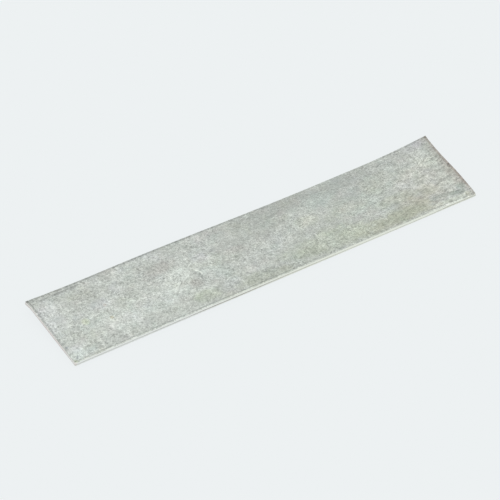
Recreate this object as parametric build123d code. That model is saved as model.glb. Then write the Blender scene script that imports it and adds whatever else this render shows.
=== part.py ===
# A short strip of bare sheet metal, parted off on a guillotine shear and lying loose on its flat side.
# +X runs along the bar, +Y across it, +Z up. The near long edge is at -Y and rests on the floor all along.
from build123d import *

import math
import os

# Stock
bar_length = 100.0
bar_width = 20.15
bar_thickness = 1.1

# One sheared edge, from the side the blade came from: rolled over, then burnished, then snapped off
rollover_width = 0.25
rollover_depth = 0.12
burnish_share = 0.55  # of the thickness, the rollover included
break_lean = 0.08  # the snapped band leans in under the burnished one by this much

# The ends are cut a little out of square: the far corners sit this far back over the width
left_end_skew = 0.30
right_end_skew = 0.32

# Nor is either cut quite straight: its far corner is drawn out in an ear over this reach in from
# the corner, and the right end bellies out between two shares of the width from the near edge
left_ear = 0.30
left_ear_reach = 2.6
right_ear = 0.22
right_ear_reach = 6.0
right_belly = 0.12
right_belly_start = 0.02
right_belly_end = 0.68

# The cut twisted the strip, so its far edge stands off the floor except over the seat.
# Positions are shares of the length from the left end, heights are of the far edge.
seat_start = 0.70
seat_end = 0.82
left_twist_full = 0.22  # the twist grows from the seat to here
left_twist_lift = 1.06
left_curl_start = 0.16  # and the last of the left end curls up a little more
left_curl_lift = 0.54
right_curl_lift = 1.21
left_stations = 15
right_stations = 8

# The blade dragged the near edge down towards its right corner
drag_start = 0.93
drag_width = 2.0
drag_depth = 0.42

# Blunted corners of the near edge
left_nick_depth = 0.42
right_nick_depth = 0.14

# Working room round the bar for the end cuts
cut_margin = 3.0
end_overrun = 1.0
end_stations = 12  # sections of each end cut over the width
run_out = 1.15  # the arris cutters run on past the surface by this factor
drag_seed = 0.02

half_length = bar_length / 2
burnish_foot = bar_thickness * (1 - burnish_share)
pivot_y = -bar_width / 2 + break_lean


def lift_at(share):
    """Height of the far edge over the floor at a share of the length."""
    lift = 0.0
    if share < seat_start:
        climb = min(1.0, (seat_start - share) / (seat_start - left_twist_full))
        lift += left_twist_lift * climb * climb * (3 - 2 * climb)
    if share < left_curl_start:
        lift += left_curl_lift * ((left_curl_start - share) / left_curl_start) ** 2
    if share > seat_end:
        lift += right_curl_lift * ((share - seat_end) / (1 - seat_end)) ** 2
    return lift


def tilt_at(share):
    return math.asin(lift_at(share) / bar_width)


def x_at(share):
    return (share - 0.5) * bar_length


def roll_points(width, depth):
    """Start, middle and end of a rolled arris that runs out level: (distance in, depth below)."""
    radius = (width**2 + depth**2) / (2 * depth)
    half_turn = math.asin(width / radius) / 2
    middle = (width - radius * math.sin(half_turn), radius * (1 - math.cos(half_turn)))
    return (0.0, depth), middle, (width, 0.0)


def outline(points, rolls, place):
    """Closed wire through the points, with an arc in place of the line that starts each roll."""
    edges = []
    for i, start in enumerate(points):
        end = points[(i + 1) % len(points)]
        if i in rolls:
            edges.append(Edge.make_three_point_arc(place(*start), place(*rolls[i]), place(*end)))
        else:
            edges.append(Edge.make_line(place(*start), place(*end)))
    return Wire(edges)


def placer(share):
    """Maps (distance from the near edge, height) in the tilted section to a point in space."""
    tilt = tilt_at(share)
    x = x_at(share)

    def place(across, height):
        across = across - break_lean
        return (
            x,
            pivot_y + across * math.cos(tilt) - height * math.sin(tilt),
            across * math.sin(tilt) + height * math.cos(tilt),
        )

    return place


def section(share):
    """Cross-section: the near edge cut from above, the far edge from below."""
    start, middle, end = roll_points(rollover_width, rollover_depth)
    points = [
        (break_lean, 0.0),
        (0.0, burnish_foot),
        (start[0], bar_thickness - start[1]),
        (end[0], bar_thickness),
        (bar_width - break_lean, bar_thickness),
        (bar_width, bar_thickness - burnish_foot),
        (bar_width - start[0], start[1]),
        (bar_width - end[0], 0.0),
    ]
    rolls = {2: (middle[0], bar_thickness - middle[1]), 6: (bar_width - middle[0], middle[1])}
    return outline(points, rolls, placer(share))


def drag_section(share, growth):
    """What the blade's drag takes off the near upper arris, grown to a share of its full size."""
    start, middle, end = roll_points(drag_width * growth * run_out, drag_depth * growth * run_out)
    top = bar_thickness + drag_depth * (run_out - 1) * growth
    points = [
        (-cut_margin, top - start[1]),
        (start[0], top - start[1]),
        (end[0], top),
        (end[0], top + cut_margin),
        (-cut_margin, top + cut_margin),
    ]
    return outline(points, {1: (middle[0], top - middle[1])}, placer(share))


def ear_at(across, ear, reach):
    """How far an end stands out because its far corner is drawn out."""
    return ear * max(0.0, 1 - (bar_width - across) / reach) ** 2


def belly_at(across, belly, start, end):
    """How far an end bellies out between two shares of the width."""
    turn = min(1.0, max(0.0, (across / bar_width - start) / (end - start)))
    return belly * math.sin(math.pi * turn) ** 2


def end_cutter(points, rolls, end_share, inward, skew, stand_out):
    """Everything outside one sheared end. The points are (distance in from the end, height)."""

    def wire_at(across):
        y = pivot_y + across
        wander = stand_out(min(across, bar_width))

        def place(depth, height):
            share = end_share + inward * (depth - wander) / bar_length
            tilt = tilt_at(share)
            x = x_at(share) - skew * across / bar_width
            return (x, y, across * math.tan(tilt) + height / math.cos(tilt))

        return outline(points, rolls, place)

    width = bar_width + 2 * cut_margin
    return Solid.make_loft([wire_at(width * i / end_stations - cut_margin) for i in range(end_stations + 1)])


def corner_cutter(corner, outward, depth):
    """A block whose flat side takes the tip off a corner, depth in along the outward direction."""
    outward = Vector(*outward).normalized()
    face = Plane(origin=Vector(*corner) - outward * depth, z_dir=outward)
    side = 2 * cut_margin
    return face * Box(side, side, side, align=(Align.CENTER, Align.CENTER, Align.MIN))


# The blank: twisted at the left, flat in the seat, curling up at the right
overrun = end_overrun / bar_length
left_shares = [seat_start - (seat_start + overrun) * i / left_stations for i in range(left_stations + 1)]
right_shares = [seat_end + (1 + overrun - seat_end) * i / right_stations for i in range(right_stations + 1)]
left_part = Solid.make_loft([section(share) for share in left_shares])
right_part = Solid.make_loft([section(share) for share in right_shares])
seat_part = Solid.extrude(Face(section(seat_start)), Vector((seat_end - seat_start) * bar_length, 0, 0))
bar = seat_part.fuse(left_part, right_part)

drag_full = 1 + overrun
drag_part = Solid.make_loft(
    [drag_section(drag_start, drag_seed), drag_section(drag_full, (drag_full - drag_start) / (1 - drag_start))],
    ruled=True,
)

# The left end is cut from above, so it rolls over at the top
start, middle, end = roll_points(rollover_width * run_out, rollover_depth * run_out)
lift_off = rollover_depth * (run_out - 1)
low = -cut_margin
high = bar_thickness + cut_margin
lean_slope = break_lean / burnish_foot
left_points = [
    (-cut_margin, low),
    (lean_slope * (burnish_foot - low), low),
    (0.0, burnish_foot),
    (0.0, bar_thickness + lift_off - start[1]),
    (end[0], bar_thickness + lift_off),
    (end[0], high),
    (-cut_margin, high),
]
left_rolls = {3: (middle[0], bar_thickness + lift_off - middle[1])}
left_cutter = end_cutter(
    left_points, left_rolls, 0.0, 1, left_end_skew, lambda across: ear_at(across, left_ear, left_ear_reach)
)

# The right end is cut from below, so its sharp arris stands at the top
burnish_top = bar_thickness - burnish_foot
right_points = [
    (-cut_margin, low),
    (end[0], low),
    (end[0], -lift_off),
    (0.0, start[1] - lift_off),
    (0.0, burnish_top),
    (lean_slope * (high - burnish_top), high),
    (-cut_margin, high),
]
right_rolls = {2: (middle[0], middle[1] - lift_off)}
right_cutter = end_cutter(
    right_points,
    right_rolls,
    1.0,
    -1,
    right_end_skew,
    lambda across: ear_at(across, right_ear, right_ear_reach)
    + belly_at(across, right_belly, right_belly_start, right_belly_end),
)

bar = bar.cut(left_cutter, right_cutter, drag_part)

left_corner = (-half_length, -bar_width / 2, bar_thickness)
right_corner = (half_length, -bar_width / 2, bar_thickness)
bar = bar.cut(
    corner_cutter(left_corner, (-1, -1, 0.9), left_nick_depth),
    corner_cutter(right_corner, (1, -1, 0.2), right_nick_depth),
)

# The origin is on the floor under the middle
box = bar.bounding_box()
bar = bar.translate(Vector(-box.center().X, -box.center().Y, -box.min.Z))

os.makedirs("parts", exist_ok=True)
export_step(bar, "parts/flat_bar.step")
print("bar", bar.bounding_box().size, "volume", bar.volume, "faces", len(bar.faces()), "valid", bar.is_valid)
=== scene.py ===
# Metal flat bar: the looks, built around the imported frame
import math

import bpy
import numpy as np
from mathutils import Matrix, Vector


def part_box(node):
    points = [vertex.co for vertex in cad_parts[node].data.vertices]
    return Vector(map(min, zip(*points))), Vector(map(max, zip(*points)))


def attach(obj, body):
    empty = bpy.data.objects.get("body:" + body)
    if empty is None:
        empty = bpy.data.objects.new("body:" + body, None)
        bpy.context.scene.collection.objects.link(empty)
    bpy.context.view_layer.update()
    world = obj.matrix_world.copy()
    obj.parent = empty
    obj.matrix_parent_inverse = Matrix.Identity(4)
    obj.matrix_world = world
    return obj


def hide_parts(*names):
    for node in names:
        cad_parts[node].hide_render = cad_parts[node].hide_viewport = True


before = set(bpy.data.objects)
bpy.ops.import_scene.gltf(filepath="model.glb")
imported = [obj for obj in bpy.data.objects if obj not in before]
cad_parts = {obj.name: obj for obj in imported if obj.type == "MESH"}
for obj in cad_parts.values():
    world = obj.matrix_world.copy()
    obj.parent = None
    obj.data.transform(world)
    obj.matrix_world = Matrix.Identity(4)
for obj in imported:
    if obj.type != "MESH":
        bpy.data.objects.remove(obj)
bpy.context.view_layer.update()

cadLow, cadHigh = (np.array(corner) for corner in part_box("flat_bar"))
mm = 0.001


# Shader expressions

class Wire:
    # wraps an output socket, so that sums and products of sockets add their own Math nodes
    def __init__(self, tree, socket=None):
        self.tree, self.socket = tree, socket

    def node(self, kind, settings=None, sockets=None, output=0):
        made = self.tree.nodes.new(kind)
        for name, value in (settings or {}).items():
            setattr(made, name, value)
        for name, value in (sockets or {}).items():
            if isinstance(value, Wire):
                self.tree.links.new(value.socket, made.inputs[name])
            else:
                made.inputs[name].default_value = value
        return Wire(self.tree, made.outputs[output] if made.outputs else None)

    def maths(self, operation, *values):
        return self.node("ShaderNodeMath", {"operation": operation}, dict(enumerate(values)))

    def __add__(self, other):
        return self.maths("ADD", self, other)

    def __radd__(self, other):
        return self.maths("ADD", other, self)

    def __sub__(self, other):
        return self.maths("SUBTRACT", self, other)

    def __rsub__(self, other):
        return self.maths("SUBTRACT", other, self)

    def __mul__(self, other):
        return self.maths("MULTIPLY", self, other)

    def __rmul__(self, other):
        return self.maths("MULTIPLY", other, self)

    def __pow__(self, other):
        return self.maths("POWER", self, other)

    def unsigned(self):
        return self.maths("ABSOLUTE", self)

    def above(self, least):
        return self.maths("MAXIMUM", self, least)

    def step(self, low, high):    # 0 at low, 1 at high, smooth between
        return self.node("ShaderNodeMapRange", {"interpolation_type": "SMOOTHSTEP"},
                         {"Value": self, "From Min": low, "From Max": high})

    def levels(self, stops):    # a value for each place along this one, smooth between
        level = stops[0][1]
        for (place, before), (nextPlace, after) in zip(stops, stops[1:]):
            level = level + self.step(place, nextPlace) * (after - before)
        return level

    # a Mix node's sockets 6 and 7 are its colours, and its output 2 is the mixed colour
    def blend(self, start, end):    # this value mixes two colours
        return self.node("ShaderNodeMix", {"data_type": "RGBA"}, {0: self, 6: start, 7: end}, 2)

    def dyed(self, amount, dye):    # this colour multiplied by a dye where the amount is 1
        return self.node("ShaderNodeMix", {"data_type": "RGBA", "blend_type": "MULTIPLY"},
                         {0: amount, 6: self, 7: dye}, 2)

    def scaled(self, x, y, z):    # this vector with each axis stretched
        return self.node("ShaderNodeVectorMath", {"operation": "MULTIPLY"}, {0: self, 1: (x, y, z)})

    def moved(self, x, y, z):    # this vector shifted, so that two noises don't match
        return self.node("ShaderNodeVectorMath", {"operation": "ADD"}, {0: self, 1: (x, y, z)})

    def noise(self, size, detail=2.0, roughness=0.6):    # from about -1 to 1, size in millimetres
        field = self.node("ShaderNodeTexNoise", None,
                          {"Vector": self, "Scale": 1 / size, "Detail": detail, "Roughness": roughness})
        return field * 2 - 1


def startMaterial(name):
    material = bpy.data.materials.new(name)
    material.use_nodes = True
    material.node_tree.nodes.clear()
    return material, Wire(material.node_tree)


def finishMetal(material, wire, colour, roughness, height, depth):    # depth of the bump in millimetres
    bump = wire.node("ShaderNodeBump", None, {"Strength": 1.0, "Distance": depth * mm, "Height": height})
    shader = wire.node("ShaderNodeBsdfPrincipled", None, {
        "Base Color": colour, "Metallic": 1.0, "Roughness": roughness, "Normal": bump})
    wire.node("ShaderNodeOutputMaterial", None, {"Surface": shader})
    print(material.name, "nodes", len(material.node_tree.nodes))
    return material


def tint(red, green, blue):
    return (red, green, blue, 1)


# The bar, in millimetres, as it was sheared and twisted
barShape = {
    "length": 100.0, "width": 20.15, "thickness": 1.1,
    "rollWidth": 0.25, "rollDepth": 0.12,    # arris rounded by the blade
    "burnishShare": 0.55, "lean": 0.08,    # burnished band, and how far the snapped band leans in
    "leftSkew": 0.30, "rightSkew": 0.32,    # ends out of square, over the width
    "leftEar": (0.30, 2.6), "rightEar": (0.22, 6.0),    # far corners drawn out, and over what reach
    "rightBelly": (0.12, 0.02, 0.68),    # the right end bellies out between two shares of the width
    "endReach": 8.0,    # how far in the mesh follows the shape of an end
    "seatStart": 0.70, "seatEnd": 0.82,    # where it lies flat, as shares of the length
    "twistFull": 0.22, "twistLift": 1.06,    # far edge's height over the floor
    "leftCurlStart": 0.16, "leftCurlLift": 0.54, "rightCurlLift": 1.21,
    "dragStart": 0.93, "dragWidth": 2.0, "dragDepth": 0.42,    # near corner dragged down
    "leftNick": ((-1, -1, 0.9), 0.42), "rightNick": ((1, -1, 0.2), 0.14),    # direction, depth
    "reliefSizes": [(9.0, 0.020), (3.1, 0.010), (1.2, 0.0045)],    # size and height of the waviness
    "reliefFade": 0.8,    # the waviness fades out this near the rim
    "wrinkles": {"height": 0.019, "spacing": 0.72, "stretch": 0.38, "angle": 13, "shift": 50,
                 "start": 76, "full": 84, "farEnd": 17, "farFull": 11},    # towards the right end
    "burr": {"height": 0.025, "spacing": 0.6, "reach": 0.09},    # on the far and right upper arris
    "snapped": {"roughness": 0.014, "grain": 0.16, "onset": 6, "slants": (0.7, 1.7)},    # torn band
    "seeds": {"relief": 7, "burr": 27, "snapped": 37, "wrinkles": 47},
    "cell": 0.30, "fineCells": [0, 0.03, 0.07, 0.11, 0.16, 0.21, 0.27, 0.36, 0.48, 0.62, 0.80],
    "edgeRows": [0, 0.06, 0.13, 0.2, 0.27, 0.34, 0.40, 0.45, 0.5, 0.6, 0.7, 0.8, 0.9, 1.0],
    "sharpAngle": 38,    # degrees
}


def smooth(value):
    value = np.clip(value, 0, 1)
    return value * value * (3 - 2 * value)


def hills(x, y, size, seed):    # smooth random heights from -1 to 1, size apart
    side = 97
    table = np.random.default_rng(seed).uniform(-1, 1, (side, side))
    column, row = np.floor(x / size).astype(int), np.floor(y / size).astype(int)
    across, along = smooth(x / size - column), smooth(y / size - row)

    def at(i, j):
        return table[(row + j) % side, (column + i) % side]

    low = at(0, 0) * (1 - across) + at(1, 0) * across
    high = at(0, 1) * (1 - across) + at(1, 1) * across
    return low * (1 - along) + high * along


def turned(along, across, degrees):    # a place on the face in turned axes, for arrays and for wires
    turn = math.radians(degrees)
    return (along * math.cos(turn) + across * math.sin(turn),
            across * math.cos(turn) - along * math.sin(turn))


def liftAt(share, shape):
    climb = smooth((shape["seatStart"] - share) / (shape["seatStart"] - shape["twistFull"]))
    leftCurl = np.maximum(0, (shape["leftCurlStart"] - share) / shape["leftCurlStart"]) ** 2
    rightCurl = np.maximum(0, (share - shape["seatEnd"]) / (1 - shape["seatEnd"])) ** 2
    return shape["twistLift"] * climb + shape["leftCurlLift"] * leftCurl + shape["rightCurlLift"] * rightCurl


def cellLines(length, shape):    # fine cells at both ends, even ones between
    fine = shape["fineCells"]
    count = round((length - 2 * fine[-1]) / shape["cell"])
    middle = np.linspace(fine[-1], length - fine[-1], count + 1)[1:-1]
    return np.concatenate([fine, middle, [length - f for f in reversed(fine)]])


# The corners and faces round a block of cells, and each face's kind: 0 broad, 1 edge
def blockSkin(nx, ny, nz):
    index, faces, kinds = {}, [], []

    def corner(*place):
        return index.setdefault(place, len(index))

    def addGrid(rows, columns, place, kind, flip):
        for p in range(rows - 1):
            for q in range(columns - 1):
                loop = [corner(*place(p, q)), corner(*place(p + 1, q)),
                        corner(*place(p + 1, q + 1)), corner(*place(p, q + 1))]
                faces.append(loop[::-1] if flip else loop)
                kinds.append(kind)

    addGrid(nx, ny, lambda p, q: (p, q, nz - 1), 0, False)
    addGrid(nx, ny, lambda p, q: (p, q, 0), 0, True)
    addGrid(nx, nz, lambda p, q: (p, 0, q), 1, False)
    addGrid(nx, nz, lambda p, q: (p, ny - 1, q), 1, True)
    addGrid(ny, nz, lambda p, q: (0, p, q), 1, True)
    addGrid(ny, nz, lambda p, q: (nx - 1, p, q), 1, False)
    return np.array(list(index)).T, faces, kinds


def faceRelief(along, across, rim, shape):    # waviness of the upper face, and its wrinkles
    seeds, wrinkles = shape["seeds"], shape["wrinkles"]
    relief = sum(height * hills(along, across, size, seeds["relief"] + n)
                 for n, (size, height) in enumerate(shape["reliefSizes"]))
    lengthways, crossways = turned(along, across, wrinkles["angle"])
    folds = hills(lengthways * wrinkles["stretch"] + wrinkles["shift"], crossways + wrinkles["shift"],
                  wrinkles["spacing"], seeds["wrinkles"])
    wrinkled = (smooth((along - wrinkles["start"]) / (wrinkles["full"] - wrinkles["start"]))
                * smooth((wrinkles["farEnd"] - across) / (wrinkles["farEnd"] - wrinkles["farFull"])))
    relief += wrinkled * wrinkles["height"] * folds
    sunk = sum(height for _, height in shape["reliefSizes"]) * 0.5    # so that it hardly stands proud
    return (relief - sunk) * smooth(rim / shape["reliefFade"])


def sheetHeights(along, across, level, shape):    # over the flat underside, level from 0 below to 1 on top
    fromFar, fromRight = shape["width"] - across, shape["length"] - along
    rollWidth, rollDepth, burr = shape["rollWidth"], shape["rollDepth"], shape["burr"]

    def roll(distance, width, depth):
        return depth * np.maximum(0, 1 - distance / width) ** 2

    # Rolled arrises: the near edge and left end at the top, the far edge and right end underneath
    growth = np.clip((along / shape["length"] - shape["dragStart"]) / (1 - shape["dragStart"]), 0, 1)
    nearWidth = rollWidth + growth * (shape["dragWidth"] - rollWidth)
    nearDepth = rollDepth + growth * (shape["dragDepth"] - rollDepth)
    topDrop = np.maximum(roll(across, nearWidth, nearDepth), roll(along, rollWidth, rollDepth))
    underRise = np.maximum(roll(fromFar, rollWidth, rollDepth), roll(fromRight, rollWidth, rollDepth))

    fromSharp = np.minimum(fromFar, fromRight)
    relief = faceRelief(along, across, np.minimum(np.minimum(along, across), fromSharp), shape)
    ragged = 0.5 + 0.5 * hills(along + across, along - across, burr["spacing"], shape["seeds"]["burr"])
    burrRise = burr["height"] * ragged * np.maximum(0, 1 - fromSharp / burr["reach"])
    top = shape["thickness"] - topDrop + relief + burrRise
    return underRise + level * (top - underRise)


def shearEdges(along, across, height, shape):    # the snapped bands lean in and are rough, the ends wander
    length, width, thickness = shape["length"], shape["width"], shape["thickness"]
    fromFar, fromRight, snapped = width - across, length - along, shape["snapped"]
    foot = thickness * (1 - shape["burnishShare"])
    brokenLow = np.maximum(0, 1 - height / foot)
    brokenHigh = np.maximum(0, (height - (thickness - foot)) / foot)
    # the slants mix the three directions, so that one field of bumps serves all four edges
    acrossSlant, heightSlant = snapped["slants"]
    bumps = hills(along + across * acrossSlant, height * heightSlant + across, snapped["grain"],
                  shape["seeds"]["snapped"])
    rough = snapped["roughness"] * (1 + bumps)
    belly, start, end = shape["rightBelly"]

    def inward(broken):
        return shape["lean"] * broken + rough * smooth(broken * snapped["onset"])

    def fade(distance):
        return np.maximum(0, 1 - distance) ** 2

    def ear(size, reach):
        return size * np.maximum(0, 1 - fromFar / reach) ** 2

    movedAcross = across + inward(brokenLow) * fade(across) - inward(brokenHigh) * fade(fromFar)
    movedAlong = along + inward(brokenLow) * fade(along) - inward(brokenHigh) * fade(fromRight)
    bellyOut = belly * np.sin(np.pi * np.clip((across / width - start) / (end - start), 0, 1)) ** 2
    movedAlong -= ear(*shape["leftEar"]) * (1 - smooth(along / shape["endReach"]))
    movedAlong += (ear(*shape["rightEar"]) + bellyOut) * (1 - smooth(fromRight / shape["endReach"]))
    skew = shape["leftSkew"] + (shape["rightSkew"] - shape["leftSkew"]) * along / length
    return movedAlong - skew * (movedAcross - shape["lean"]) / width, movedAcross


def twist(along, across, height, shape):    # each section turns about the near lower arris
    length, width = shape["length"], shape["width"]
    tilt = np.arcsin(liftAt(along / length, shape) / width)
    offPivot = across - shape["lean"]
    return np.stack([along - length / 2,
                     shape["lean"] - width / 2 + offPivot * np.cos(tilt) - height * np.sin(tilt),
                     offPivot * np.sin(tilt) + height * np.cos(tilt)], axis=1)


def bluntCorners(points, shape):
    for side, (direction, depth) in ((-1, shape["leftNick"]), (1, shape["rightNick"])):
        direction = np.array(direction) / np.linalg.norm(direction)
        tip = np.array([side * shape["length"] / 2, -shape["width"] / 2, shape["thickness"]])
        over = np.maximum(0, (points - tip) @ direction + depth)
        points = points - over[:, None] * direction
    return points


def intoCadBox(points):    # centred over the solid, on the same floor, and cut off at its box
    low, high = points.min(axis=0), points.max(axis=0)
    shift = (cadLow + cadHigh - low - high) / 2
    shift[2] = cadLow[2] - low[2]
    return np.clip(points + shift, cadLow, cadHigh)


def buildBar(name, shape, materials):
    lines = [cellLines(shape["length"], shape), cellLines(shape["width"], shape), np.array(shape["edgeRows"])]
    cells, faces, kinds = blockSkin(*map(len, lines))
    along, across, level = (line[places] for line, places in zip(lines, cells))
    height = sheetHeights(along, across, level, shape)
    points = twist(*shearEdges(along, across, height, shape), height, shape)
    points = intoCadBox(bluntCorners(points, shape) * mm)

    mesh = bpy.data.meshes.new(name)
    mesh.from_pydata(points.tolist(), [], faces)
    for material in materials:
        mesh.materials.append(material)
    mesh.polygons.foreach_set("material_index", kinds)
    mesh.polygons.foreach_set("use_smooth", [True] * len(faces))

    # Height as a share of the thickness, counted towards the side the blade came from:
    # two of the edges are cut from below
    cutBelow = np.minimum(shape["width"] - across, shape["length"] - along) < shape["fineCells"][1] / 2
    fromCut = np.where(cutBelow, shape["thickness"] - height, height) / shape["thickness"]
    for label, values in (("fromCut", fromCut), ("along", along), ("across", across)):
        mesh.attributes.new(label, "FLOAT", "POINT").data.foreach_set("value", values.astype(np.float32))
    mesh.validate()
    mesh.update()
    mesh.set_sharp_from_angle(angle=math.radians(shape["sharpAngle"]))
    bar = bpy.data.objects.new(name, mesh)
    bpy.context.scene.collection.objects.link(bar)
    print(name, "vertices", len(points), "faces", len(faces))
    return bar


# Millimetres in space, from the left end and from the near edge, and the share of the thickness
def barPlaces(wire):
    space = wire.node("ShaderNodeTexCoord", output="Object").scaled(1 / mm, 1 / mm, 1 / mm)
    along, across, fromCut = (wire.node("ShaderNodeAttribute", {"attribute_name": label}, output="Fac")
                              for label in ("along", "across", "fromCut"))
    return space, along, across, fromCut


patchEdge = (0.1, 1.7)    # an oval's edge fades between these, in squared radii
strokeSoftness = 0.3    # share of a scratch's half width that stays full
strokeTail, strokeTip = 0.2, 0.02    # it fades from this share of its length before each end to this past it


def patch(along, across, ragged, centre, size):    # 1 inside an oval with a ragged soft edge
    out = ((along - centre[0]) * (1 / size[0])) ** 2 + ((across - centre[1]) * (1 / size[1])) ** 2
    return 1 - (out + ragged).step(*patchEdge)


def patches(along, across, ragged, places):    # 1 inside any of several ovals
    amount = 0
    for centre, size in places:
        amount = patch(along, across, ragged, centre, size).above(amount)
    return amount


def stroke(along, across, start, end, width):    # 1 on a straight scratch between two points
    run = (end[0] - start[0], end[1] - start[1])
    length = math.hypot(*run)
    unit = (run[0] / length, run[1] / length)
    fromX, fromY = along - start[0], across - start[1]
    aside = (fromX * unit[1] - fromY * unit[0]).unsigned()
    past = (fromX * unit[0] + fromY * unit[1] - length / 2).unsigned() - length / 2
    return (1 - aside.step(width * strokeSoftness, width)) * (
        1 - past.step(-strokeTail * length, strokeTip * length))


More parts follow.
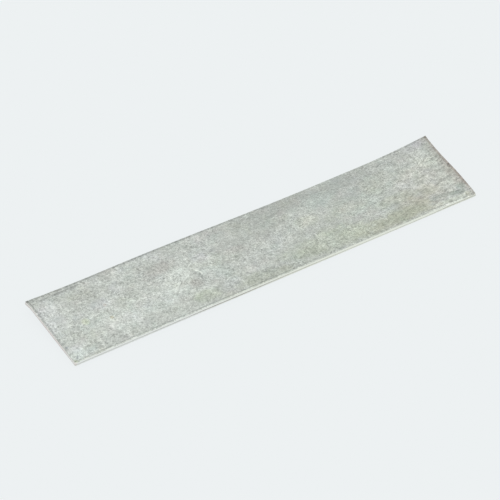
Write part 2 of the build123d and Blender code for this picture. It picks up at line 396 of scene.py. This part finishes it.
# Dull zinc-grey faces. Places are millimetres from the left end and from the near edge
zincLook = {
    "dark": tint(0.261, 0.277, 0.258), "light": tint(0.689, 0.729, 0.679), "middle": 0.422,
    "grain": [(0.34, 0.62), (0.80, 0.32), (1.9, 0.23), (4.5, 0.12)],    # size in mm, strength
    "fibreSize": 1.1, "fibreStrength": 0.25, "fibreSharpness": 5.0,    # thin light threads in the grain
    "fleckSize": 0.7, "fleckStrength": 0.28, "fleckLevels": (0.34, 0.62),    # bright crystals
    "patchSize": 3.4, "patchiness": 0.75,    # the grain comes and goes
    "calming": 0.42, "calmZones": [    # ovals where the grain is weaker
        ((50.5, 14.4), (6, 3)), ((71.5, 15.6), (5.5, 2.6)), ((70, 9), (3, 2.4)), ((66, 18), (15, 2.4)),
        ((88, 5), (6, 3.2)), ((57, 5.5), (3, 1.8)), ((56, 13.6), (3, 1.4)), ((84, 8.4), (3, 1.8)),
        ((97, 8), (2.6, 1.6)), ((76.5, 13.4), (3.4, 1.6))],
    "stirring": 0.26, "livelyZones": [    # and where it is stronger
        ((25, 9.5), (4, 3.4)), ((61, 11.3), (4.5, 2)), ((52.5, 10.5), (2.6, 1.5)), ((71, 5), (3, 1.6)),
        ((95, 14), (4, 3)), ((3, 10.5), (2.6, 1.6))],
    "hues": [(3.6, tint(1.030, 1.0, 1.008), tint(0.970, 1.0, 0.992)),
             (5.5, tint(1.0, 1.0, 1.034), tint(1.0, 1.0, 0.966))],    # size in mm, dyes it wavers between
    "hueSharpness": 2.2,
    "raggedSize": 2.6, "raggedness": 1.5, "spotRaggedness": 0.25,    # of the ovals' outlines
    "stains": {    # dye, and its ovals: centre, radii
        "paleBloom": (tint(1.084, 1.09, 1.092), [
            ((31.5, 11), (4.4, 2.3)), ((26, 7.5), (6, 3)), ((39, 11), (3.5, 3)), ((14.5, 7.6), (8.5, 4.8)),
            ((2.5, 13.5), (2.8, 5)), ((2.6, 2.8), (3, 2.4))]),
        "whiteBloom": (tint(1.05, 1.05, 1.05), [
            ((28.5, 8.2), (4.5, 2.6)), ((32, 11), (3, 1.4)), ((1.5, 3), (1.7, 2.2)), ((15, 5.5), (4, 2)),
            ((33, 4.6), (3, 1.4)), ((1.2, 8), (1.2, 4))]),
        "dull": (tint(0.90, 0.895, 0.897), [
            ((28.5, 14.8), (4, 2)), ((34.4, 7.5), (1.9, 1.4)), ((59, 18.2), (15, 2)), ((80, 18), (9, 2.5)),
            ((94, 18.6), (6, 1.8)), ((49, 1.5), (6, 2)), ((11.5, 16), (2.4, 1.4))]),
        "dim": (tint(0.95, 0.95, 0.947), [
            ((80, 13.5), (4.5, 2)), ((20.5, 10), (4.5, 2.6)), ((8, 11.5), (2.6, 2.2)), ((45, 12), (6, 2.6)),
            ((59, 1.6), (8, 1.6)), ((55, 14.2), (6, 1.5)), ((36, 17), (3, 1.6)), ((37.5, 2), (4, 1.6)),
            ((65, 8.8), (3.4, 1.6)), ((99, 12), (2.6, 7)), ((4, 10.5), (2, 2)), ((12, 14), (2.4, 1.6)),
            ((91, 11.3), (3.4, 1.8)), ((60, 11.3), (4, 1.6)), ((67, 1.5), (3, 1.2)), ((76, 1.4), (4, 1.2))]),
        "khaki": (tint(0.960, 0.932, 0.905), [((82, 1.8), (10, 2.0)), ((87, 4.2), (4, 2.0))]),
        "straw": (tint(1.0, 1.0, 0.976), [((95, 8), (4, 6)), ((75, 11), (5, 3)), ((84, 13.5), (8, 3))]),
        "blueGreen": (tint(0.972, 1.0, 1.0), [
            ((38.6, 7.8), (4, 2.2)), ((76, 10.5), (5, 3.2)), ((70, 16), (4.5, 2.2)), ((2, 1.8), (4, 1.6))]),
        "olive": (tint(0.956, 0.973, 0.915), [
            ((46.5, 1.8), (4.6, 1.8)), ((64, 4), (12, 2.6)), ((72, 2.2), (15, 2.4)), ((84, 2.6), (7, 2.6)),
            ((84.5, 7), (5, 1.8)), ((34, 2.8), (3, 1.6)), ((51, 1.4), (4, 1.4))]),
        "deepOlive": (tint(0.93, 0.94, 0.915), [((83.5, 2.2), (5, 1.8)), ((60, 2.8), (4, 1.5))]),
        "yellowOlive": (tint(0.995, 1.0, 0.965), [
            ((72, 3), (5, 2.4)), ((91.6, 6.2), (2.6, 1.7)), ((66.5, 6.6), (3, 1.5)), ((64, 11.5), (2.6, 1.6)),
            ((33, 4), (2, 1.2))]),
        "faintBloom": (tint(1.035, 1.035, 1.035), [
            ((55, 6.6), (4.4, 2)), ((85, 9), (3, 2)), ((95, 7.2), (3, 2.2)), ((46.3, 1.6), (2, 1.2)),
            ((32.4, 8), (2, 2.6)), ((20, 4.4), (3.4, 1.6))]),
        "faintDull": (tint(0.966, 0.966, 0.968), [
            ((38.5, 19), (3, 1.3)), ((87.5, 19), (3, 1.3)), ((75.6, 14), (3.4, 1.8)),
            ((8.5, 11.8), (2.6, 1.6)), ((17.6, 9.2), (2.6, 1.7)), ((26.8, 10.6), (4, 2.2)),
            ((9.6, 6.6), (3.4, 1.6)), ((53.6, 2), (3, 1.6))]),
        "faintGreen": (tint(0.988, 1.0, 0.998), [
            ((75, 18.4), (9, 2.3)), ((57.5, 18), (3.4, 2.3)), ((81, 10), (3, 3)), ((92, 9.4), (2.4, 2)),
            ((98.6, 17.6), (1.8, 2))]),
        "faintPink": (tint(1.012, 1.0, 1.002), [
            ((15, 6.5), (3, 2)), ((98.8, 8.5), (1.7, 4)), ((53, 1.5), (2, 1.4)), ((46, 19), (3, 1))]),
        "faintBlue": (tint(0.998, 1.0, 1.02), [
            ((1, 14), (1.4, 3)), ((1, 9), (1.3, 2)), ((3.6, 1.4), (2.4, 1.2)), ((24.6, 18.8), (3, 1.4)),
            ((40.4, 3), (3, 1.6)), ((9, 19), (3, 1))]),
        "lavender": (tint(1.003, 0.992, 1.026), [
            ((2.4, 13), (2.4, 4.5)), ((2, 3.4), (2.2, 1.2)), ((13, 12), (2.4, 1.6)), ((97, 18.8), (3.4, 1.4)),
            ((38.3, 13.2), (2, 1.4))]),
        "pink": (tint(1.02, 0.99, 0.988), [
            ((91, 6.5), (6, 5)), ((92, 11), (4.5, 3)), ((46, 11.6), (2.5, 1.2)), ((33.9, 7.2), (1.8, 1.2)),
            ((29, 14.6), (3, 1.4)), ((75, 10.5), (4, 1.5))]),
    },
    "scratches": [    # from, to, half width, dye
        ((0.6, 18.7), (13.2, 19.25), 0.36, tint(0.72, 0.72, 0.72)),
        ((12.7, 19.9), (13.5, 18.6), 0.30, tint(0.76, 0.76, 0.76)),
        ((35.5, 11.2), (36.6, 8.8), 0.30, tint(1.24, 1.24, 1.22)),
        ((33.6, 10.1), (35.7, 9.7), 0.32, tint(0.82, 0.82, 0.82)),
        ((35.6, 9.9), (36.0, 7.0), 0.32, tint(0.84, 0.84, 0.84)),
        ((28.2, 5.8), (32.1, 9.6), 0.26, tint(0.78, 0.78, 0.78)),
        ((27.9, 6.3), (31.6, 10.0), 0.22, tint(1.14, 1.14, 1.14)),
        ((30.8, 5.4), (33.3, 5.8), 0.45, tint(1.14, 1.14, 1.12)),
        ((26.5, 4.7), (28.1, 6.3), 0.38, tint(1.14, 1.14, 1.14)),
        ((19, 9.5), (24, 8.6), 0.26, tint(1.12, 1.12, 1.12)),
        ((40, 15.2), (52, 14.6), 0.26, tint(1.08, 1.08, 1.08)),
        ((90.5, 3.3), (95.2, 2.6), 0.85, tint(0.82, 0.84, 0.83)),
        ((94.6, 2.7), (98.8, 1.8), 0.85, tint(0.76, 0.80, 0.78)),
        ((90.0, 1.1), (98.6, 0.7), 0.75, tint(1.12, 1.12, 1.08)),
        ((0.5, 0.5), (1.7, 1.5), 0.30, tint(0.60, 0.60, 0.64)),
    ],
    "spots": [    # where, radius, dye
        ((0.7, 4.6), 0.34, tint(0.70, 0.71, 0.76)), ((0.4, 0.3), 0.5, tint(1.1, 1.1, 1.0)),
        ((0.2, 19.9), 0.42, tint(0.74, 0.73, 0.73)), ((99.8, 19.8), 0.5, tint(0.76, 0.75, 0.74)),
        ((98.2, 3.4), 1.1, tint(0.80, 0.85, 0.83)), ((98.4, 0.9), 0.7, tint(1.08, 1.08, 1.01)),
        ((97.2, 19.2), 1.2, tint(1.02, 1.0, 1.03)), ((95.6, 13.1), 1.5, tint(1.06, 1.06, 1.04)),
        ((13.9, 11.3), 0.40, tint(0.93, 0.87, 0.85)), ((13.4, 7.5), 0.42, tint(0.90, 0.84, 0.75)),
        ((7.9, 9.1), 0.9, tint(1.09, 1.10, 0.98)), ((35.5, 14.3), 0.36, tint(1.2, 1.2, 1.2)),
        ((39.3, 10.3), 0.36, tint(1.2, 1.2, 1.2)),
    ],
    "gapSize": 1.3, "gapLevels": (0.0, 0.7), "gapDepth": 0.7,    # scratches and edge lines thin out in places
    # painted shade in the wrinkles' valleys and painted highlight on their crests
    "wrinkles": {"spacing": 0.66, "stretch": 0.38, "sharpness": 2.4, "runIn": 5,
                 "valleyShade": tint(0.78, 0.78, 0.78), "crestHighlight": tint(1.19, 1.19, 1.19)},
    "lineWander": 0.12, "lineCore": 0.25, "lineFloor": 0.75,    # how an edge line strays, fades and thins
    "edgeLines": [    # which edge, inset, half width, strengths along it, dye; the near and left ones are painted highlight and painted shade, the right ones partly painted shade
        # near edge: a painted highlight on the rolled arris, then painted shade just inside it
        ("near", 0.06, 0.18, [(0, 0.8), (45, 1.0), (68, 0.25), (86, 0.25), (93, 0.9)],
         tint(1.60, 1.60, 1.56)),
        ("near", 0.34, 0.28, [(0, 0.9), (45, 1.0), (65, 0.3), (90, 0.1)], tint(0.80, 0.81, 0.82)),
        # left end: a painted highlight on the rolled arris, then painted shade just inside it
        ("left", 0.03, 0.20, [(0, 1.0)], tint(1.12, 1.11, 1.10)),
        ("left", 0.36, 0.30, [(3.2, 0.0), (5, 0.5), (9, 1.0), (12, 0.7), (16, 1.0)], tint(0.70, 0.69, 0.70)),
        ("far", 0.26, 0.42, [(4, 0.5), (12, 1.0), (45, 0.9), (62, 0.3), (84, 0.2), (95, 0.5)],
         tint(0.72, 0.72, 0.73)),
        ("far", 0.50, 0.90, [(2, 0.5), (5, 0.9), (13, 0.0)], tint(0.88, 0.87, 0.87)),
        # right end: painted shade of the upturned last millimetres, with a reddish tint
        ("right", 0.20, 0.60, [(1.5, 0.6), (4, 1.1), (14, 1.0), (18, 0.8)], tint(0.83, 0.77, 0.76)),
        ("right", 0.00, 3.00, [(1.5, 0.5), (4, 1.0), (13, 1.1), (17, 0.7)], tint(0.835, 0.797, 0.787)),
    ],
    "roughness": 0.44, "roughnessChange": 0.10, "roughnessSize": 1.4,
    "grainHeight": 0.060, "bumpSize": 0.45,    # mm
}


def grainShade(look, space, along, across, ragged):    # crystals of several sizes, with threads and flecks
    grain = 0
    for n, (size, strength) in enumerate(look["grain"]):
        grain = grain + space.moved(17 * n, 5 * n, 3).noise(size, 2.0, 0.65) * strength
    ridge = space.moved(4, 31, 7).noise(look["fibreSize"], 3.0, 0.6).unsigned() * look["fibreSharpness"]
    fleck = space.moved(61, 3, 5).noise(look["fleckSize"], 1.0, 0.5).step(*look["fleckLevels"])
    threads = (1 - ridge).above(0) * look["fibreStrength"] + fleck * look["fleckStrength"]
    patchy = 1 + space.moved(2, 44, 8).noise(look["patchSize"], 2.0, 0.6) * look["patchiness"]
    contrast = (1 - patches(along, across, ragged, look["calmZones"]) * look["calming"]
                + patches(along, across, ragged, look["livelyZones"]) * look["stirring"])
    return look["middle"] + (grain + threads) * patchy * contrast


def addStains(colour, look, space, along, across, ragged):
    for n, (size, first, second) in enumerate(look["hues"]):
        waver = space.moved(7, 23 * n, 41).noise(size, 4.0, 0.7)
        colour = colour.dyed((waver * look["hueSharpness"]).step(0, 1), first)
        colour = colour.dyed((waver * -look["hueSharpness"]).step(0, 1), second)
    for dye, places in look["stains"].values():
        colour = colour.dyed(patches(along, across, ragged, places), dye)
    return colour


def addMarks(colour, look, along, across, ragged, thin):
    for start, end, width, dye in look["scratches"]:
        colour = colour.dyed(stroke(along, across, start, end, width) * thin, dye)
    for centre, radius, dye in look["spots"]:
        spot = patch(along, across, ragged * look["spotRaggedness"], centre, (radius, radius))
        colour = colour.dyed(spot, dye)
    return colour


def paintWrinkleShading(colour, look, along, across):    # painted shade in the wrinkles' valleys and painted highlight on their crests, over the wrinkles of the mesh, in the same direction
    folds, relief = look["wrinkles"], barShape["wrinkles"]
    lengthways, crossways = turned(along, across, relief["angle"])
    plane = along.node("ShaderNodeCombineXYZ", None, {"X": lengthways * folds["stretch"], "Y": crossways})
    fold = plane.noise(folds["spacing"], 1.5, 0.6)
    wrinkled = along.step(relief["start"] - folds["runIn"], relief["full"]) * (
        1 - across.step(relief["farFull"], relief["farEnd"]))
    # painted shade in the valleys, then painted highlight on the crests
    colour = colour.dyed((fold * -folds["sharpness"]).step(0, 1) * wrinkled, folds["valleyShade"])
    return colour.dyed((fold * folds["sharpness"]).step(0, 1) * wrinkled, folds["crestHighlight"])


# lines along the edges, some of them painted highlight and painted shade at the arrises
def addEdgeLinesAndShading(colour, look, along, across, ragged, thin):
    edges = {    # distance from the edge, and the place along it
        "near": (across, along), "far": (barShape["width"] - across, along),
        "left": (along, across), "right": (barShape["length"] - along, across)}
    for edge, inset, reach, strengths, dye in look["edgeLines"]:
        distance, place = edges[edge]
        aside = (distance - inset + ragged * look["lineWander"] * reach).unsigned()
        broken = look["lineFloor"] + (1 - look["lineFloor"]) * thin
        amount = (1 - aside.step(look["lineCore"] * reach, reach)) * broken * place.levels(strengths)
        colour = colour.dyed(amount, dye)
    return colour


def makeZinc(look):
    material, wire = startMaterial("dullZinc")
    space, along, across, _ = barPlaces(wire)
    ragged = space.noise(look["raggedSize"], 4.0, 0.72) * look["raggedness"]
    gaps = space.moved(9, 9, 9).noise(look["gapSize"], 2.0, 0.6).step(*look["gapLevels"])
    thin = 1 - gaps * look["gapDepth"]
    colour = grainShade(look, space, along, across, ragged).blend(look["dark"], look["light"])
    colour = addStains(colour, look, space, along, across, ragged)
    colour = addMarks(colour, look, along, across, ragged, thin)
    colour = paintWrinkleShading(colour, look, along, across)
    colour = addEdgeLinesAndShading(colour, look, along, across, ragged, thin)
    roughness = look["roughness"] + space.noise(look["roughnessSize"], 3.0, 0.6) * look["roughnessChange"]
    grain = space.moved(3, 9, 2).noise(look["bumpSize"], 2.0, 0.6)
    return finishMetal(material, wire, colour, roughness, grain, look["grainHeight"])


# Bright sheared edges: burnished on the blade's side and snapped beyond, with a dull line between.
# Heights and strengths are listed by their place along the bar or across it
shearedLook = {
    "bright": tint(0.92, 0.935, 0.90), "broken": tint(0.83, 0.845, 0.81), "darkTone": tint(0.40, 0.37, 0.35),
    "lineHeights": [(30, 0.45), (40, 0.38), (50, 0.42), (72, 0.28), (86, 0.17), (93, 0.42)],
    "lineStrengths": [(12, 0.5), (24, 0.8), (38, 1.6), (55, 0.7), (72, 0.3), (88, 0.5), (94, 0.9)],
    "lineReach": (0.04, 0.18), "bandEdge": 0.04, "wobble": 0.05, "wobbleSize": 1.6,
    "lineAmount": 0.8, "lineChange": 0.6, "lineChangeSize": 0.9,    # the dull line comes and goes
    "speckSize": 0.3, "speckAmount": 0.03, "speckChange": 0.12,
    "yellow": tint(1.0, 1.0, 0.93), "yellowing": [(27, 0.0), (42, 0.6), (60, 1.0)],
    "leftPink": tint(0.97, 0.88, 0.875), "leftPinkness": [(2, 0.5), (7, 1.2), (11, 1.2), (16, 0.7)],
    "leftReach": (0.3, 0.6),
    "roughness": 0.32, "brokenRoughness": 0.5,
    "scoreSize": 0.30, "scoreStretch": 0.12, "scoreHeight": 0.006,    # lines drawn down the edge, mm
}


def makeSheared(look):
    material, wire = startMaterial("shearedEdge")
    space, along, across, fromCut = barPlaces(wire)
    wobble = space.noise(look["wobbleSize"], 3.0, 0.6) * look["wobble"]
    above = fromCut + wobble - along.levels(look["lineHeights"])
    burnished = above.step(-look["bandEdge"], look["bandEdge"])
    line = (1 - above.unsigned().step(*look["lineReach"])) * along.levels(look["lineStrengths"])
    lineChange = look["lineAmount"] + space.noise(look["lineChangeSize"], 3.0, 0.7) * look["lineChange"]
    specks = space.noise(look["speckSize"], 2.0, 0.6) * look["speckChange"] + look["speckAmount"]
    leftEnd = 1 - along.step(*look["leftReach"])
    colour = burnished.blend(look["broken"], look["bright"])
    # a dark line where the burnished and snapped bands meet, then dark specks
    colour = (line * lineChange).blend(colour, look["darkTone"])
    colour = specks.blend(colour, look["darkTone"])
    colour = colour.dyed(along.levels(look["yellowing"]), look["yellow"])
    colour = colour.dyed(leftEnd * across.levels(look["leftPinkness"]), look["leftPink"])
    roughness = look["brokenRoughness"] + burnished * (look["roughness"] - look["brokenRoughness"])
    score = space.scaled(1, 1, look["scoreStretch"]).noise(look["scoreSize"], 3.0, 0.6)
    return finishMetal(material, wire, colour, roughness, score, look["scoreHeight"])


bar = buildBar("flatBar", barShape, [makeZinc(zincLook), makeSheared(shearedLook)])
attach(bar, "root")
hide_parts("flat_bar")


# Pale floor. The camera sees this share of plain paper, and only the rest as lit, with the bar's shadow.
# Reflections see plain paper alone
floorLook = {"size": 6.0, "colour": tint(0.90, 0.935, 0.945), "paper": tint(0.847, 0.880, 0.888),
             "paperShare": 0.93}


def makeFloor(look):
    material, wire = startMaterial("paleFloor")
    lit = wire.node("ShaderNodeBsdfDiffuse", None, {"Color": look["colour"]})
    paper = wire.node("ShaderNodeEmission", None, {"Color": look["paper"], "Strength": 1.0})
    camera = wire.node("ShaderNodeLightPath", output="Is Camera Ray")
    glossy = wire.node("ShaderNodeLightPath", output="Is Glossy Ray")
    share = glossy.above(camera * look["paperShare"])
    mixed = wire.node("ShaderNodeMixShader", None, {0: share, 1: lit, 2: paper})
    wire.node("ShaderNodeOutputMaterial", None, {"Surface": mixed})
    half = look["size"] / 2
    corners = [(-half, -half, 0), (half, -half, 0), (half, half, 0), (-half, half, 0)]
    mesh = bpy.data.meshes.new("floor")
    mesh.from_pydata(corners, [], [(0, 1, 2, 3)])
    mesh.materials.append(material)
    floor = bpy.data.objects.new("floor", mesh)
    bpy.context.scene.collection.objects.link(floor)
    floor.location.z = cadLow[2]
    print("floor", look["size"], "m square")
    return floor


makeFloor(floorLook)

# Soft light from all round, and a wide softbox high behind. Its sizes and distance are in metres
lightLook = {"worldStrength": 0.82, "boxAzimuth": 58.5, "boxElevation": 62, "boxDistance": 1.5,
             "boxSize": (2.2, 0.92), "boxRadiance": 0.65}


def addLights(look):
    world = bpy.data.worlds.new("softRoom")
    world.use_nodes = True
    background = world.node_tree.nodes["Background"].inputs
    background["Color"].default_value = tint(1, 1, 1)
    background["Strength"].default_value = look["worldStrength"]
    bpy.context.scene.world = world
    azimuth, elevation = math.radians(look["boxAzimuth"]), math.radians(look["boxElevation"])
    out = Vector((math.cos(azimuth) * math.cos(elevation), math.sin(azimuth) * math.cos(elevation),
                  math.sin(elevation)))
    data = bpy.data.lights.new("softbox", "AREA")
    data.shape = "RECTANGLE"
    data.size, data.size_y = look["boxSize"]
    data.energy = look["boxRadiance"] * math.pi * data.size * data.size_y
    softbox = bpy.data.objects.new("softbox", data)
    softbox.location = out * look["boxDistance"]
    softbox.rotation_euler = out.to_track_quat("Z", "Y").to_euler()
    bpy.context.scene.collection.objects.link(softbox)
    print("lights: even world and a softbox", look["boxSize"])


addLights(lightLook)

# Camera, with its lens and sensor in millimetres
cameraLook = {"azimuth": -31.406, "elevation": 43.677, "distance": 1.0731, "lens": 361.4, "sensor": 36,
              "target": (-0.00017, 0.00103, 0.0), "clipEnd": 20}


def addCamera(look):
    azimuth, elevation = math.radians(look["azimuth"]), math.radians(look["elevation"])
    back = Vector((math.sin(azimuth) * math.cos(elevation), -math.cos(azimuth) * math.cos(elevation),
                   math.sin(elevation)))
    data = bpy.data.cameras.new("camera")
    data.lens, data.sensor_width = look["lens"], look["sensor"]
    data.clip_end = look["clipEnd"]
    camera = bpy.data.objects.new("camera", data)
    camera.location = Vector(look["target"]) + back * look["distance"]
    camera.rotation_euler = back.to_track_quat("Z", "Y").to_euler()
    bpy.context.scene.collection.objects.link(camera)
    bpy.context.scene.camera = camera
    print("camera at", [round(part, 4) for part in camera.location])


addCamera(cameraLook)
bpy.context.scene.view_settings.view_transform = "Standard"
